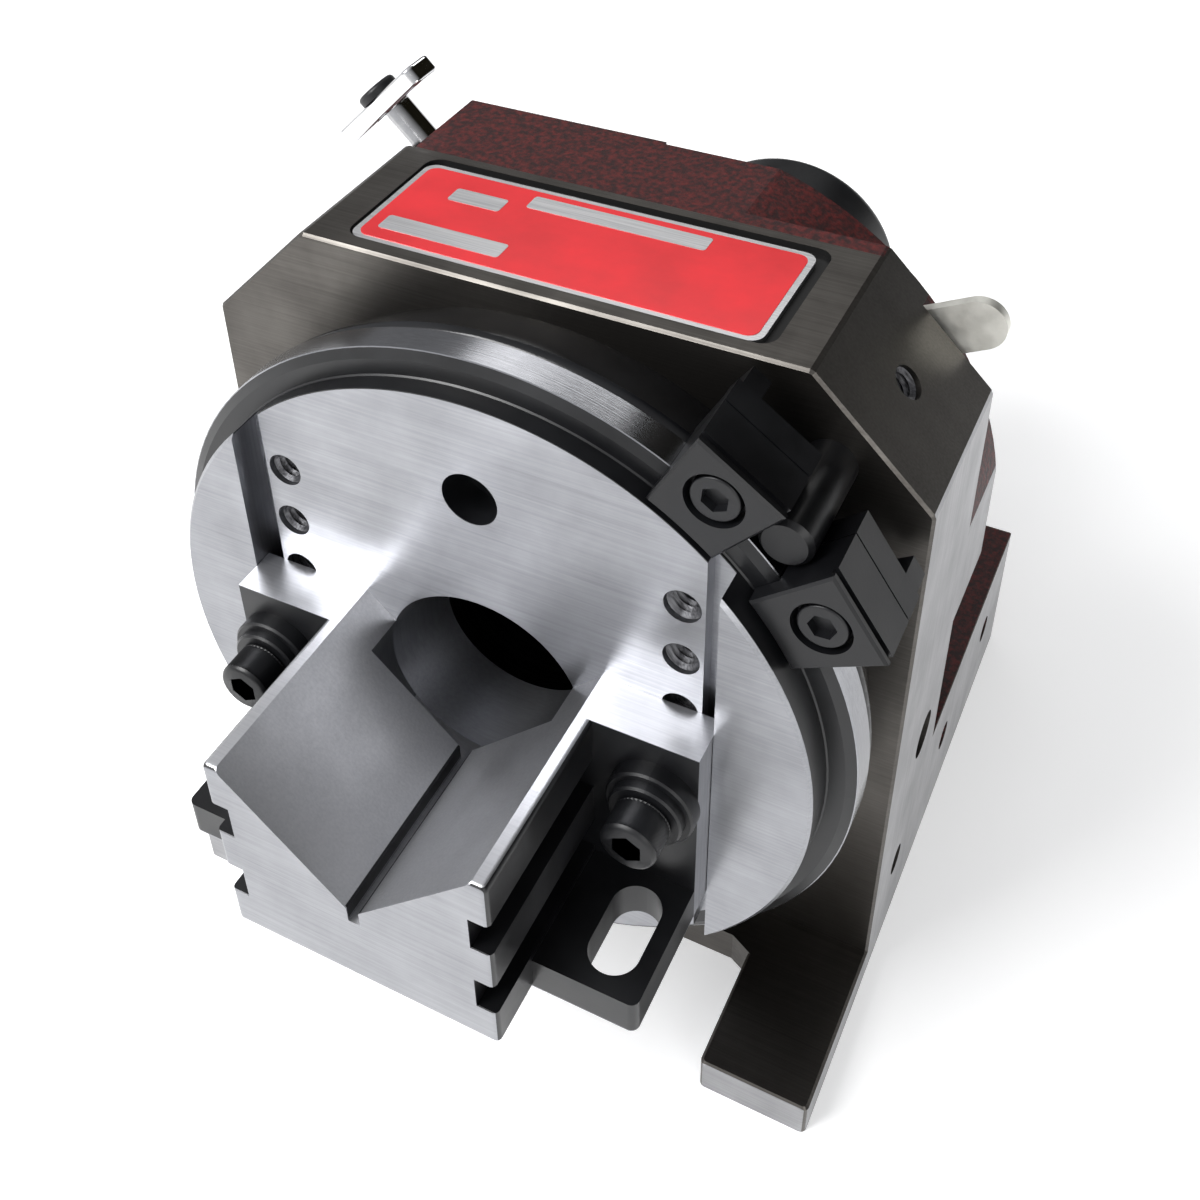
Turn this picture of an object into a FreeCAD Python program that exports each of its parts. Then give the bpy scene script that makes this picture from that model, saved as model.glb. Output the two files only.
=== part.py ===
import FreeCAD, Part
import math
import os

# Collet index fixture, in millimetres.
# Origin on the underside of the base, below the spindle axis, in the plane of the front plate.
# X runs to the right seen from the front, Y to the back along the spindle, Z up.

# Housing
half_width = 66.65
height = 141.6
axis_height = 77.2
corner_leg = 20.9
plate_depth = 34.3
base_rear = 100.8
base_top = 33.7
base_edge_radius = 2.0
foot_front = -34.05
foot_top = 7.9
foot_inner = 46.0
foot_gap_back = -7.9
foot_gap_corner = 4.0
foot_edge_radius = 1.2
barrel_radius = 67.5
headstock_rear = 54.6
boss_rear = 56.5
boss_edge = -2.3
boss_side = -62.0
boss_corner = -44.0
boss_bottom = 84.0
plunger_boss_radius = 9.0
plunger_boss_root = 5.0
boss_edge_share = 0.8
lip_rear = 37.8
lip_length = 10.5
lip_reach = 26.0
edge_break = 0.5
side_hole_radius = 3.1
side_hole_pitch = 33.7
side_hole_first = 14.8
side_hole_height = 18.6
side_hole_count = 3
side_hole_depth = 16.0
lug_hole_radius = 4.75
lug_hole_place = 22.4
lug_hole_height = 47.5
corner_hole_radius = 3.0
corner_hole_depth = 13.0

# Name plate and its pocket in the top
pocket_left_wall = 6.75
pocket_right_wall = 7.35
pocket_front = 3.2
pocket_back = 32.4
pocket_depth = 1.2
pocket_radius = 3.0
name_plate_gap = 0.6
name_plate_right_gap = 2.2
name_plate_front_gap = 0.3
name_plate_back_gap = 1.8
name_plate_thickness = 1.0

# Fits and running clearances
running_clearance = 0.02
sliding_clearance = 0.04
loose_clearance = 0.3
bolt_clearance = 0.4
screw_clearance = 0.1
thread_gap = 0.05
seat_gap = 0.05
cut_past = 1.0
near = 1e-3

# Spindle, its bushes and the collet seat
collet_radius = 15.89
collet_taper = 10.0
journal_radius = 25.0
bush_wall = 4.0
bush_flange_radius = 33.0
bush_flange_thickness = 1.2
front_bush_rear = 33.0
rear_bush_front = 40.0
web_rear = 47.0
flange_radius = 34.0
flange_thickness = 8.0
bore_step = 30.0
plate_seat_radius = 22.5
nut_thread_radius = 21.5
nut_length = 8.5
nut_radius = 29.0
nut_notch_width = 5.0
nut_notch_depth = 3.0
nut_notch_count = 4
nut_chamfer = 1.0
key_radius = 2.0
key_place = 12.0
key_gap = 0.2

# Index plate
index_thickness = 9.0
index_count = 24
index_web_gap = 0.5
notch_floor_gap = 0.5
recess_clearance = 2.6

# Faceplate
face_radius = 60.0
face_front = -27.62
channel_depth = 3.46
channel_half_width = 43.4
groove_width = 3.4
groove_depth = 3.0
rim_radius = 64.8
rim_front = -20.5
rim_rear = -14.0
rim_chamfer = 1.8
rim_chamfer_depth = 0.9
rim_fillet = 0.25
face_edge_chamfer = 0.6
hub_rear = -9.5
pin_hole_radius = 5.0
pin_hole_rise = 41.2
pin_hole_depth = 7.0
tapped_hole_radius = 3.15
tapped_hole_across = 36.2
tapped_hole_pitch = 11.3
tapped_hole_rows = 7
faceplate_screw_radius = 2.0
faceplate_screw_head = 3.5
faceplate_screw_circle = 29.5
faceplate_screw_count = 6
faceplate_screw_grip = 6.5
faceplate_screw_sink = 4.2

# Dust ring
dust_front = -13.3
dust_widest = 64.2
dust_base_radius = 60.0
dust_inner_radius = 52.0
dust_round = 2.0

# Vee block
vee_front = -66.5
vee_half_width = 25.1
vee_top = 11.95
vee_bottom = -28.0
vee_mouth_half = 22.5
vee_relief_half = 1.1
vee_relief_depth = 2.0
vee_groove_width = 7.1
vee_groove_depth = 3.6
vee_groove_heights = (-0.6, -16.0)
vee_flange_half = 43.3
vee_flange_thickness = 8.76
vee_foot_thickness = 7.2
vee_foot_front = -55.56
vee_foot_radius = 1.5
vee_edge_radius = 1.0
vee_slot_across = 36.1
vee_slot_radius = 4.3
vee_slot_back = -40.1
vee_slot_front = -48.2
vee_mouth_clearance = 7.7

# Vee block screws and washers
clamp_screw_radius = 3.1
clamp_screw_head = 4.765
clamp_screw_head_height = 6.35
clamp_screw_socket = 4.76
clamp_screw_grip = 9.0
thick_washer_radius = 7.6
thick_washer_thickness = 3.0
thin_washer_radius = 6.35
thin_washer_thickness = 1.73
washer_edge_break = 0.35
screw_head_round = 0.4
socket_share = 0.55

# Stop pin
stop_pin_radius = 4.35
stop_pin_rim_gap = 0.4
stop_pin_angle = 44.2
stop_pin_front = -20.0
stop_pin_depth = 10.0
stop_pin_chamfer = 0.8

# Stop dogs on the faceplate rim
dog_half_angle = 6.15
dog_outer_wall = 6.65
dog_front = -24.0
dog_joint = -14.05
dog_joint_gap = 0.15
dog_rear = -8.7
dog_lip_depth = 1.6
dog_groove_front = -22.9
dog_groove_back = -21.8
dog_groove_depth = 0.8
dog_tail_rear = -4.5
dog_tail_near = 3.8
dog_tail_far = 7.4
dog_tail_depth = 6.0
dog_screw_gap = 4.55
dog_screw_radius = 2.4
dog_screw_head = 3.95
dog_screw_head_height = 3.0
dog_screw_socket = 3.97
dog_sink_radius = 4.75
dog_sink_depth = 3.3
dog_bite_clearance = 0.1
dog_thread_floor = 0.8
dog_edge_break = 0.4
upper_dog_angle = 54.35
lower_dog_angle = 34.0

# Index plunger, held out in the pulled position
plunger_angle = 135.0
plunger_stroke = 8.0
index_share = 0.36
tip_radius = 3.0
tip_taper = 1.2
tip_flat_share = 0.6
tip_retract_gap = 2.0
collar_radius = 5.2
collar_thickness = 2.5
stem_radius = 4.1
stem_rise = 8.85
guide_sink = 0.6
bush_outer_radius = 6.5
bush_chamber_radius = 5.5
cap_thickness = 5.65
spring_wire_radius = 0.45
spring_turns = 6
spring_room = 10.0
spring_gap = 0.15
bar_length = 26.6
bar_width = 8.2
bar_thickness = 3.8
bar_corner_radius = 2.0
bar_edge_radius = 0.7
bar_screw_radius = 2.0
bar_screw_head = 4.3
bar_screw_head_height = 2.0
bar_screw_round = 0.9
bar_screw_socket = 3.0
bar_screw_socket_depth = 1.2
bar_screw_end_gap = 1.4

# Latch lever behind the right corner
lever_front = 36.0
lever_thickness = 2.0
lever_pivot_inset = 36.65
lever_pivot_drop = 26.8
lever_angle = 27.5
lever_length = 36.5
lever_half_width = 4.6
lever_hub_radius = 7.0
lever_swing = 14.0
lever_room = 0.5
lever_inner_half_width = 4.0
shoe_length = 3.0
shoe_round = 3.6
shoe_reach = 10.0
lever_pin_radius = 3.0
lever_pin_front = 24.0

# Draw tube and handwheel
tube_radius = 18.2
tube_bore = 15.75
tube_front = 34.0
tube_collar_radius = 24.0
tube_collar_thickness = 4.6
tube_collar_gap = 0.4
wheel_radius = 26.1
wheel_rear = 127.5
wheel_width = 20.0
wheel_hub_radius = 22.5
wheel_hub_length = 10.0
wheel_edge_radius = 3.5
wheel_dish_depth = 3.0
wheel_dish_radius = 22.0
wheel_dish_slope = 1.0
wheel_screw_radius = 2.5
wheel_screw_socket = 2.5
wheel_screw_socket_depth = 2.0
wheel_screw_sink = 0.5

# Places worked out from the sizes above
top_half_width = half_width - corner_leg
pocket_left = pocket_left_wall - top_half_width
pocket_right = top_half_width - pocket_right_wall
pad_front = face_front + channel_depth
mouth_radius = collet_radius + (hub_rear - pad_front) * math.tan(math.radians(collet_taper))
flange_rear = hub_rear + flange_thickness
bush_outer = journal_radius + bush_wall
index_front = web_rear + index_web_gap
index_rear = index_front + index_thickness
spindle_rear = index_rear + nut_length + nut_chamfer
plunger_place = index_front + index_thickness / 2
boss_face = (height - axis_height - boss_corner) / math.sqrt(2)
index_radius = plate_seat_radius + (boss_face - plate_seat_radius) * index_share
recess_radius = index_radius + recess_clearance
notch_depth = plunger_stroke - tip_retract_gap + notch_floor_gap
vee_back = pad_front
vee_flange_front = vee_back - vee_flange_thickness
tip_end = index_radius + tip_retract_gap
wheel_front = wheel_rear - wheel_width
stem_top = boss_face + stem_rise
cap_under = boss_face - cap_thickness
bar_screw_end = boss_face + bar_screw_end_gap
collar_top = cap_under - spring_room
collar_under = collar_top - collar_thickness
guide_top = collar_under - plunger_stroke - loose_clearance
guide_under = recess_radius + guide_sink
stop_pin_circle = rim_radius + stop_pin_rim_gap + stop_pin_radius
dog_screw_circle = rim_radius + dog_screw_gap
dog_outer = dog_screw_circle + dog_outer_wall
lever_pivot_across = half_width - lever_pivot_inset
lever_pivot_rise = height - axis_height - lever_pivot_drop
lever_slot_reach = height / 2


def prism(points, start, end):
    """Solid with an outline of (x, z) points, run along Y."""
    corners = [FreeCAD.Vector(x, start, z) for x, z in points]
    outline = Part.makePolygon(corners + corners[:1])
    return Part.Face(outline).extrude(FreeCAD.Vector(0, end - start, 0))


def slab(points, bottom, top):
    """Solid with an outline of (x, y) points, run upwards."""
    corners = [FreeCAD.Vector(x, y, bottom) for x, y in points]
    outline = Part.makePolygon(corners + corners[:1])
    return Part.Face(outline).extrude(FreeCAD.Vector(0, 0, top - bottom))


def block(x_low, x_high, y_low, y_high, z_low, z_high):
    corner = FreeCAD.Vector(x_low, y_low, z_low)
    return Part.makeBox(x_high - x_low, y_high - y_low, z_high - z_low, corner)


def rod(radius, start, end, across=0.0, rise=0.0):
    """Round rod along Y at (across, rise)."""
    foot = FreeCAD.Vector(across, start, rise)
    return Part.makeCylinder(radius, end - start, foot, FreeCAD.Vector(0, 1, 0))


def turned(points):
    """Solid of revolution about Y from (radius, y) points."""
    corners = [FreeCAD.Vector(radius, place, 0) for radius, place in points]
    outline = Part.makePolygon(corners + corners[:1])
    return Part.Face(outline).revolve(FreeCAD.Vector(), FreeCAD.Vector(0, 1, 0), 360)


def on_spindle(shape):
    """Lift a shape built about the origin onto the spindle axis."""
    lifted = shape.copy()
    lifted.translate(FreeCAD.Vector(0, 0, axis_height))
    return lifted


def to_angle(shape, angle):
    """Swing a shape that points up from the spindle axis to an angle from +X towards +Z."""
    swung = shape.copy()
    swung.rotate(FreeCAD.Vector(), FreeCAD.Vector(0, 1, 0), 90 - angle)
    return swung


def along_radius(shape, place):
    """Stand a shape turned about Y on a radius, at a place along the spindle."""
    stood = shape.copy()
    stood.rotate(FreeCAD.Vector(), FreeCAD.Vector(1, 0, 0), 90)
    stood.translate(FreeCAD.Vector(0, place, 0))
    return stood


def hex_socket(across_flats, depth, mouth, across=0.0, rise=0.0):
    """Hexagonal hole along Y whose mouth faces -Y."""
    corner = across_flats / math.sqrt(3)
    points = []
    for step in range(6):
        turn = math.radians(60 * step)
        points.append((across + corner * math.cos(turn), rise + corner * math.sin(turn)))
    return prism(points, mouth - cut_past, mouth + depth)


def cap_screw(radius, head_radius, head_height, socket, mouth, end, across=0.0, rise=0.0):
    """Socket screw along Y: head at its front, shank running back."""
    head = rod(head_radius, mouth, mouth + head_height, across, rise)
    head = fillet_rings(head, mouth, screw_head_round)
    shank = rod(radius, mouth + head_height, end, across, rise)
    screw = head.fuse(shank).removeSplitter()
    return screw.cut(hex_socket(socket, head_height * socket_share, mouth, across, rise))


def edges_at(shape, place):
    """Edges that lie in the plane y = place."""
    edges = []
    for edge in shape.Edges:
        bounds = edge.BoundBox
        if abs(bounds.YMin - place) < near and abs(bounds.YMax - place) < near:
            edges.append(edge)
    return edges


def fillet_rings(shape, place, radius):
    """Round the edges that lie in the plane y = place."""
    return shape.makeFillet(radius, edges_at(shape, place))


def chamfer_rings(shape, place, size):
    """Break the edges that lie in the plane y = place."""
    return shape.makeChamfer(size, edges_at(shape, place))


def rounded_plate(x_low, x_high, y_low, y_high, z_low, z_high, radius):
    """Plate with its four upright edges rounded."""
    plate = block(x_low, x_high, y_low, y_high, z_low, z_high)
    upright = [edge for edge in plate.Edges if edge.BoundBox.ZLength > (z_high - z_low) * 0.99]
    return plate.makeFillet(radius, upright)


def lever_point(distance, angle, side=0.0):
    """Point at a distance from the lever pivot along an angle, moved sideways by side."""
    turn = math.radians(angle)
    across = lever_pivot_across + distance * math.cos(turn) - side * math.sin(turn)
    rise = lever_pivot_rise + distance * math.sin(turn) + side * math.cos(turn)
    return (across, rise)


pivot_reach = math.hypot(lever_pivot_across, lever_pivot_rise)
inner_angle = 180 + math.degrees(math.atan2(lever_pivot_rise, lever_pivot_across)) + lever_swing
inner_length = pivot_reach - journal_radius - loose_clearance - shoe_length


def swing_gap(high_angle, low_angle, half_width, reach, start, end):
    """Room that an arm sweeps between two angles."""
    points = [
        lever_point(0, high_angle, half_width),
        lever_point(reach, high_angle, half_width),
        lever_point(reach, low_angle, -half_width),
        lever_point(0, low_angle, -half_width),
    ]
    return prism(points, start, end)


def plate_outline():
    shoulder = height - corner_leg
    return [
        (-half_width, 0),
        (half_width, 0),
        (half_width, shoulder),
        (top_half_width, height),
        (-top_half_width, height),
        (-half_width, shoulder),
    ]


def make_feet():
    """Base web in front of the plate with a foot on each side of a gap for the dogs."""
    half = [
        (0, 0.0),
        (half_width, 0.0),
        (half_width, foot_front),
        (foot_inner, foot_front),
        (foot_inner, foot_gap_back - foot_gap_corner / 2),
        (foot_inner - foot_gap_corner, foot_gap_back),
        (0, foot_gap_back),
    ]
    right = slab(half, 0, foot_top)
    front_corners = []
    for edge in right.Edges:
        bounds = edge.BoundBox
        if bounds.ZLength > foot_top / 2 and abs(bounds.YMin - foot_front) < near:
            front_corners.append(edge)
    right = right.makeFillet(foot_edge_radius, front_corners)
    left = right.mirror(FreeCAD.Vector(), FreeCAD.Vector(1, 0, 0))
    return right.fuse(left)


def make_base():
    """Ground block behind the plate, with cast edges at the back."""
    base = block(-half_width, half_width, plate_depth, base_rear, 0, base_top)
    cast_edges = []
    for edge in base.Edges:
        bounds = edge.BoundBox
        if abs(bounds.YMin - base_rear) < near and bounds.ZMax > base_top - near:
            cast_edges.append(edge)
    return base.makeFillet(base_edge_radius, cast_edges)


def make_headstock():
    """Round barrel behind the plate with a raised pad for the plunger."""
    barrel = on_spindle(rod(barrel_radius, plate_depth, headstock_rear))
    barrel = barrel.common(prism(plate_outline(), plate_depth, headstock_rear))
    drop = boss_corner - boss_side
    boss = prism(
        [
            (boss_side, boss_bottom),
            (boss_edge, boss_bottom),
            (boss_edge, height),
            (boss_corner, height),
            (boss_side, height - drop),
        ],
        plate_depth,
        boss_rear,
    )
    boss = fillet_rings(boss, boss_rear, (boss_rear - headstock_rear) * boss_edge_share)
    round_boss = rod(plunger_boss_radius, recess_radius + plunger_boss_root, boss_face)
    round_boss = on_spindle(to_angle(along_radius(round_boss, plunger_place), plunger_angle))
    return barrel.fuse([boss, round_boss])


def make_lip():
    """Short lip that carries the right corner face on over the lever."""
    step = lip_length / math.sqrt(2)
    return prism(
        [
            (top_half_width, height),
            (top_half_width + step, height - step),
            (top_half_width + step - lip_reach, height - step - lip_reach),
            (top_half_width - lip_reach, height),
        ],
        plate_depth,
        lip_rear,
    )


def lever_slot():
    front = lever_front - loose_clearance
    back = lever_front + lever_thickness + loose_clearance
    outer = swing_gap(
        lever_angle,
        lever_angle - lever_swing,
        lever_half_width + lever_room,
        lever_slot_reach,
        front,
        back,
    )
    inner = swing_gap(
        inner_angle,
        inner_angle - lever_swing,
        lever_inner_half_width + lever_room,
        inner_length + shoe_length,
        front,
        back,
    )
    hub = rod(lever_hub_radius + lever_room, front, back, lever_pivot_across, lever_pivot_rise)
    return on_spindle(outer.fuse([inner, hub]))


def side_holes():
    holes = []
    for side in (-1, 1):
        face = FreeCAD.Vector(side * half_width, 0, 0)
        inward = FreeCAD.Vector(-side, 0, 0)
        for step in range(side_hole_count):
            place = side_hole_first + side_hole_pitch * step
            mouth = face + FreeCAD.Vector(0, place, side_hole_height)
            holes.append(Part.makeCylinder(side_hole_radius, side_hole_depth, mouth, inward))
        mouth = face + FreeCAD.Vector(0, lug_hole_place, lug_hole_height)
        holes.append(Part.makeCylinder(lug_hole_radius, side_hole_depth, mouth, inward))
        middle = corner_leg / 2
        mouth = FreeCAD.Vector(side * (half_width - middle), plate_depth / 2, height - middle)
        inward = FreeCAD.Vector(-side, 0, -1)
        holes.append(Part.makeCylinder(corner_hole_radius, corner_hole_depth, mouth, inward))
    return holes


def plate_edges(body):
    """Outer edges of the plate above the feet."""
    shoulder = height - corner_leg
    edges = []
    for edge in body.Edges:
        bounds = edge.BoundBox
        if not isinstance(edge.Curve, Part.Line) or bounds.ZMin < foot_top - near:
            continue
        middle = edge.valueAt((edge.FirstParameter + edge.LastParameter) / 2)
        across = abs(middle.x)
        on_side = abs(across - half_width) < near
        on_corner = abs(across + middle.z - top_half_width - height) < near
        on_top = abs(middle.z - height) < near
        in_front = bounds.YMax < near
        along = bounds.YMin < near and bounds.YLength > plate_depth / 2
        at_corner_line = abs(across - top_half_width) < near or abs(middle.z - shoulder) < near
        if in_front and (on_side or on_corner or on_top):
            edges.append(edge)
        elif along and at_corner_line and (on_side or on_top):
            edges.append(edge)
    return edges


def make_housing():
    body = prism(plate_outline(), 0, plate_depth).fuse([make_feet(), make_lip()])
    body = body.removeSplitter()
    body = body.makeChamfer(edge_break, plate_edges(body))
    body = body.fuse([make_base(), make_headstock()]).removeSplitter()
    plunger_bore = along_radius(
        rod(bush_outer_radius, index_radius, boss_face + stem_rise), plunger_place
    )
    pin_turn = math.radians(stop_pin_angle)
    pin_across = stop_pin_circle * math.cos(pin_turn)
    pin_rise = stop_pin_circle * math.sin(pin_turn)
    cuts = side_holes()
    cuts.append(on_spindle(rod(bush_outer, -cut_past, web_rear)))
    cuts.append(on_spindle(rod(recess_radius, web_rear, boss_rear + cut_past)))
    cuts.append(on_spindle(to_angle(plunger_bore, plunger_angle)))
    cuts.append(on_spindle(
        rod(stop_pin_radius, -cut_past, stop_pin_depth, pin_across, pin_rise)
    ))
    cuts.append(lever_slot())
    pin = rod(lever_pin_radius, lever_pin_front, web_rear, lever_pivot_across, lever_pivot_rise)
    cuts.append(on_spindle(pin))
    cuts.append(rounded_plate(
        pocket_left, pocket_right, pocket_front, pocket_back,
        height - pocket_depth, height + cut_past, pocket_radius,
    ))
    for tool in cuts:
        body = body.cut(tool)
    return body.removeSplitter()


def make_name_plate():
    return rounded_plate(
        pocket_left + name_plate_gap,
        pocket_right - name_plate_right_gap,
        pocket_front + name_plate_front_gap,
        pocket_back - name_plate_back_gap,
        height - pocket_depth,
        height - pocket_depth + name_plate_thickness,
        pocket_radius - name_plate_gap,
    )


def dust_solid(growth):
    """Ring with a rounded front edge and a tapered side, grown outwards by growth."""
    centre_radius = dust_widest - dust_round
    centre_place = dust_front + dust_round
    reach = dust_round + growth
    bend = reach / math.sqrt(2)
    inner_front = FreeCAD.Vector(dust_inner_radius, dust_front - growth, 0)
    arc_start = FreeCAD.Vector(centre_radius, dust_front - growth, 0)
    arc_middle = FreeCAD.Vector(centre_radius + bend, centre_place - bend, 0)
    arc_end = FreeCAD.Vector(centre_radius + reach, centre_place, 0)
    outer_rear = FreeCAD.Vector(dust_base_radius + growth, 0, 0)
    inner_rear = FreeCAD.Vector(dust_inner_radius, 0, 0)
    outline = Part.Wire([
        Part.LineSegment(inner_front, arc_start).toShape(),
        Part.Arc(arc_start, arc_middle, arc_end).toShape(),
        Part.LineSegment(arc_end, outer_rear).toShape(),
        Part.LineSegment(outer_rear, inner_rear).toShape(),
        Part.LineSegment(inner_rear, inner_front).toShape(),
    ])
    return Part.Face(outline).revolve(FreeCAD.Vector(), FreeCAD.Vector(0, 1, 0), 360)


def make_bushes():
    bore = journal_radius + running_clearance
    front = turned([
        (bore, -bush_flange_thickness),
        (bush_flange_radius, -bush_flange_thickness),
        (bush_flange_radius, 0),
        (bush_outer, 0),
        (bush_outer, front_bush_rear),
        (bore, front_bush_rear),
    ])
    rear = turned([
        (bore, rear_bush_front),
        (bush_outer, rear_bush_front),
        (bush_outer, web_rear),
        (bore, web_rear),
    ])
    return on_spindle(front), on_spindle(rear)


def make_stop_pin():
    turn = math.radians(stop_pin_angle)
    pin = rod(
        stop_pin_radius,
        stop_pin_front,
        stop_pin_depth,
        stop_pin_circle * math.cos(turn),
        stop_pin_circle * math.sin(turn),
    )
    return on_spindle(chamfer_rings(pin, stop_pin_front, stop_pin_chamfer))


def make_spindle():
    tube_seat = tube_radius + sliding_clearance
    spindle = turned([
        (collet_radius, hub_rear),
        (flange_radius, hub_rear),
        (flange_radius, flange_rear),
        (journal_radius, flange_rear),
        (journal_radius, index_front),
        (plate_seat_radius, index_front),
        (plate_seat_radius, index_rear),
        (nut_thread_radius, index_rear),
        (nut_thread_radius, spindle_rear),
        (tube_seat, spindle_rear),
        (tube_seat, bore_step),
        (collet_radius, bore_step),
    ])
    for across, rise in faceplate_screw_places():
        shank = faceplate_screw_radius + screw_clearance
        head = faceplate_screw_head + screw_clearance
        sink_floor = flange_rear - faceplate_screw_sink
        end = flange_rear + cut_past
        spindle = spindle.cut(rod(shank, hub_rear - cut_past, end, across, rise))
        spindle = spindle.cut(rod(head, sink_floor, end, across, rise))
    key_hole = rod(key_radius, collet_radius / 2, journal_radius + cut_past)
    key_hole = to_angle(along_radius(key_hole, key_place), 270)
    return on_spindle(spindle.cut(key_hole))


def make_collet_key():
    key = rod(key_radius, collet_radius + key_gap, journal_radius - key_gap * 2)
    return on_spindle(to_angle(along_radius(key, key_place), 270))


def faceplate_screw_places():
    places = []
    for step in range(faceplate_screw_count):
        turn = 2 * math.pi * (step + 0.5) / faceplate_screw_count
        across = faceplate_screw_circle * math.cos(turn)
        places.append((across, faceplate_screw_circle * math.sin(turn)))
    return places


def make_faceplate_screws():
    screws = []
    floor = flange_rear - faceplate_screw_sink
    for across, rise in faceplate_screw_places():
        shank = rod(faceplate_screw_radius, hub_rear - faceplate_screw_grip, floor, across, rise)
        head = rod(faceplate_screw_head, floor, flange_rear - loose_clearance, across, rise)
        screws.append(on_spindle(shank.fuse(head).removeSplitter()))
    return Part.makeCompound(screws)


def tapped_hole_places():
    places = []
    middle = (tapped_hole_rows - 1) / 2
    for side in (-1, 1):
        for row in range(tapped_hole_rows):
            places.append((side * tapped_hole_across, (row - middle) * tapped_hole_pitch))
    return places


def make_faceplate():
    """Turned face with a rear rim for the dogs, milled across for accessories."""
    disc = turned([
        (mouth_radius, pad_front),
        (mouth_radius, face_front),
        (face_radius - face_edge_chamfer, face_front),
        (face_radius, face_front + face_edge_chamfer),
        (face_radius, rim_front - rim_fillet),
        (face_radius + rim_fillet, rim_front),
        (rim_radius - rim_chamfer, rim_front),
        (rim_radius, rim_front + rim_chamfer_depth),
        (rim_radius, rim_rear),
        (flange_radius, rim_rear),
        (flange_radius, hub_rear),
        (collet_radius, hub_rear),
    ])
    reach = face_radius + cut_past
    front = face_front - cut_past
    channel = block(-channel_half_width, channel_half_width, front, pad_front, -reach, reach)
    disc = disc.cut(channel)
    groove_floor = pad_front + groove_depth
    for side in (-1, 1):
        inner = side * (channel_half_width - groove_width)
        outer = side * channel_half_width
        low, high = min(inner, outer), max(inner, outer)
        disc = disc.cut(block(low, high, front, groove_floor, -reach, reach))
    for across, rise in tapped_hole_places():
        disc = disc.cut(rod(tapped_hole_radius, face_front, rim_rear, across, rise))
    disc = disc.cut(rod(pin_hole_radius, face_front, pad_front + pin_hole_depth, 0, pin_hole_rise))
    for across, rise in faceplate_screw_places():
        thread = faceplate_screw_radius + thread_gap
        floor = hub_rear - faceplate_screw_grip - cut_past
        disc = disc.cut(rod(thread, floor, hub_rear, across, rise))
    return on_spindle(disc)


def make_index_plate():
    """Ring with evenly spaced notches that the plunger tip drops into."""
    ring = turned([
        (plate_seat_radius + running_clearance, index_front),
        (index_radius, index_front),
        (index_radius, index_rear),
        (plate_seat_radius + running_clearance, index_rear),
    ])
    half = tip_radius + sliding_clearance
    floor = index_radius - notch_depth
    notch = block(
        -half, half, index_front - cut_past, index_rear + cut_past, floor, index_radius + cut_past
    )
    for step in range(index_count):
        ring = ring.cut(to_angle(notch, 360 * step / index_count))
    return on_spindle(ring)


def make_spindle_nut():
    front = index_rear
    rear = index_rear + nut_length
    ring = turned([
        (nut_thread_radius + running_clearance, front),
        (nut_radius, front),
        (nut_radius, rear - nut_chamfer),
        (nut_radius - nut_chamfer, rear),
        (nut_thread_radius + running_clearance, rear),
    ])
    half = nut_notch_width / 2
    floor = nut_radius - nut_notch_depth
    notch = block(-half, half, front - cut_past, rear + cut_past, floor, nut_radius + cut_past)
    for step in range(nut_notch_count):
        ring = ring.cut(to_angle(notch, 360 * (step + 0.5) / nut_notch_count))
    return on_spindle(ring)


def make_draw_tube():
    collar_front = spindle_rear + tube_collar_gap
    collar_rear = collar_front + tube_collar_thickness
    return on_spindle(turned([
        (tube_bore, tube_front),
        (tube_radius, tube_front),
        (tube_radius, collar_front),
        (tube_collar_radius, collar_front),
        (tube_collar_radius, collar_rear),
        (tube_radius, collar_rear),
        (tube_radius, wheel_rear - wheel_dish_depth),
        (tube_bore, wheel_rear - wheel_dish_depth),
    ]))


def wheel_screw_place():
    return wheel_front - wheel_hub_length / 2


def make_handwheel():
    wheel = turned([
        (tube_radius, wheel_front - wheel_hub_length),
        (wheel_hub_radius, wheel_front - wheel_hub_length),
        (wheel_hub_radius, wheel_front),
        (wheel_radius, wheel_front),
        (wheel_radius, wheel_rear),
        (wheel_dish_radius, wheel_rear),
        (wheel_dish_radius - wheel_dish_slope, wheel_rear - wheel_dish_depth),
        (tube_radius, wheel_rear - wheel_dish_depth),
    ])
    rims = []
    for edge in wheel.Edges:
        bounds = edge.BoundBox
        if bounds.XMax > wheel_radius - near and bounds.YLength < near:
            rims.append(edge)
    wheel = wheel.makeFillet(wheel_edge_radius, rims)
    screw_hole = rod(wheel_screw_radius, tube_radius - cut_past, wheel_hub_radius + cut_past)
    return on_spindle(wheel.cut(along_radius(screw_hole, wheel_screw_place())))


def make_handwheel_screw():
    top = wheel_hub_radius - wheel_screw_sink
    screw = rod(wheel_screw_radius, tube_radius, top)
    socket = hex_socket(wheel_screw_socket, wheel_screw_socket_depth, 0)
    socket.rotate(FreeCAD.Vector(), FreeCAD.Vector(0, 0, 1), 180)
    socket.translate(FreeCAD.Vector(0, top, 0))
    return on_spindle(along_radius(screw.cut(socket), wheel_screw_place()))


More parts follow.
